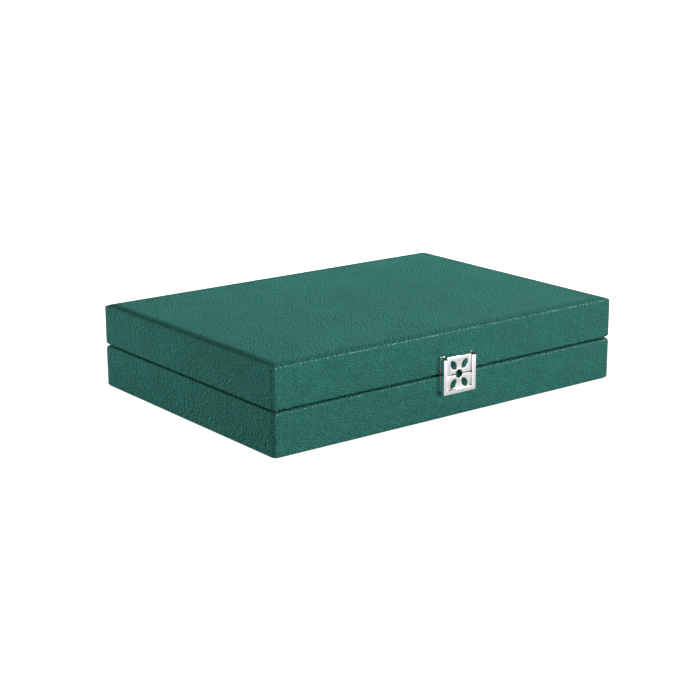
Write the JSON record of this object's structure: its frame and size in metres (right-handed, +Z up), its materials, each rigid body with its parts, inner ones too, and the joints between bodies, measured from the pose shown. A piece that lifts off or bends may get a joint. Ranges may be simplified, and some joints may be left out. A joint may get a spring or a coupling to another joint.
{
  "type": "card deck box",
  "caption": "Leather-covered hinged case with suede-lined wells for boxed decks of playing cards and a pierced metal swing clasp.",
  "frame": {"origin": "centre of the felt underside, on the table", "axes": "+X to the right along the front, +Y to the back with the clasp on the -Y side, +Z up"},
  "size_m": [0.3, 0.2194, 0.0615],
  "materials": {
    "leather": "pebbled, satin",
    "board": "bare fibreboard",
    "suede": "short suede nap",
    "felt": "pressed felt",
    "chrome": "polished",
    "steel": "satin",
    "bumper": "matt"
  },
  "bodies": {
    "base": {"base_back_board": "board", "base_back_lining": "suede", "base_felt": "felt", "base_floor_board": "board", "base_floor_lining": "suede", "base_front_board": "board", "base_front_lining": "suede", "base_leather_cover": "leather", "base_left_board": "board", "base_left_lining": "suede", "base_right_board": "board", "base_right_lining": "suede", "clasp_keeper_plate": "chrome", "clasp_keeper_screw_left": "steel", "clasp_keeper_screw_right": "steel", "divider_cross_1": "suede", "divider_cross_2": "suede", "divider_cross_3": "suede", "divider_long": "suede", "hinge_left_base_leaf": "chrome", "hinge_left_base_screw_1": "steel", "hinge_left_base_screw_2": "steel", "hinge_left_pin": "steel", "hinge_right_base_leaf": "chrome", "hinge_right_base_screw_1": "steel", "hinge_right_base_screw_2": "steel", "hinge_right_pin": "steel", "rim_bumper_left": "bumper", "rim_bumper_right": "bumper"},
    "lid": {"clasp_lid_plate": "chrome", "clasp_lid_plate_screw_left": "steel", "clasp_lid_plate_screw_right": "steel", "clasp_pin": "steel", "hinge_left_lid_leaf": "chrome", "hinge_left_lid_screw_1": "steel", "hinge_left_lid_screw_2": "steel", "hinge_right_lid_leaf": "chrome", "hinge_right_lid_screw_1": "steel", "hinge_right_lid_screw_2": "steel", "lid_back_board": "board", "lid_back_lining": "suede", "lid_front_board": "board", "lid_front_lining": "suede", "lid_leather_cover": "leather", "lid_left_board": "board", "lid_left_lining": "suede", "lid_pad": "suede", "lid_right_board": "board", "lid_right_lining": "suede", "lid_top_board": "board"},
    "bail": {"clasp_bail": "chrome"}
  },
  "joints": [
    {"name": "lid_hinge", "type": "hinge", "parent": "base", "child": "lid", "pos_m": [0, 0.1069, 0.0313], "axis": [-1, 0, 0], "range_deg": [0, 180]},
    {"name": "bail_hinge", "type": "hinge", "parent": "lid", "child": "bail", "pos_m": [0, -0.10805, 0.04315], "axis": [-1, 0, 0], "range_deg": [0, 130]}
  ]
}
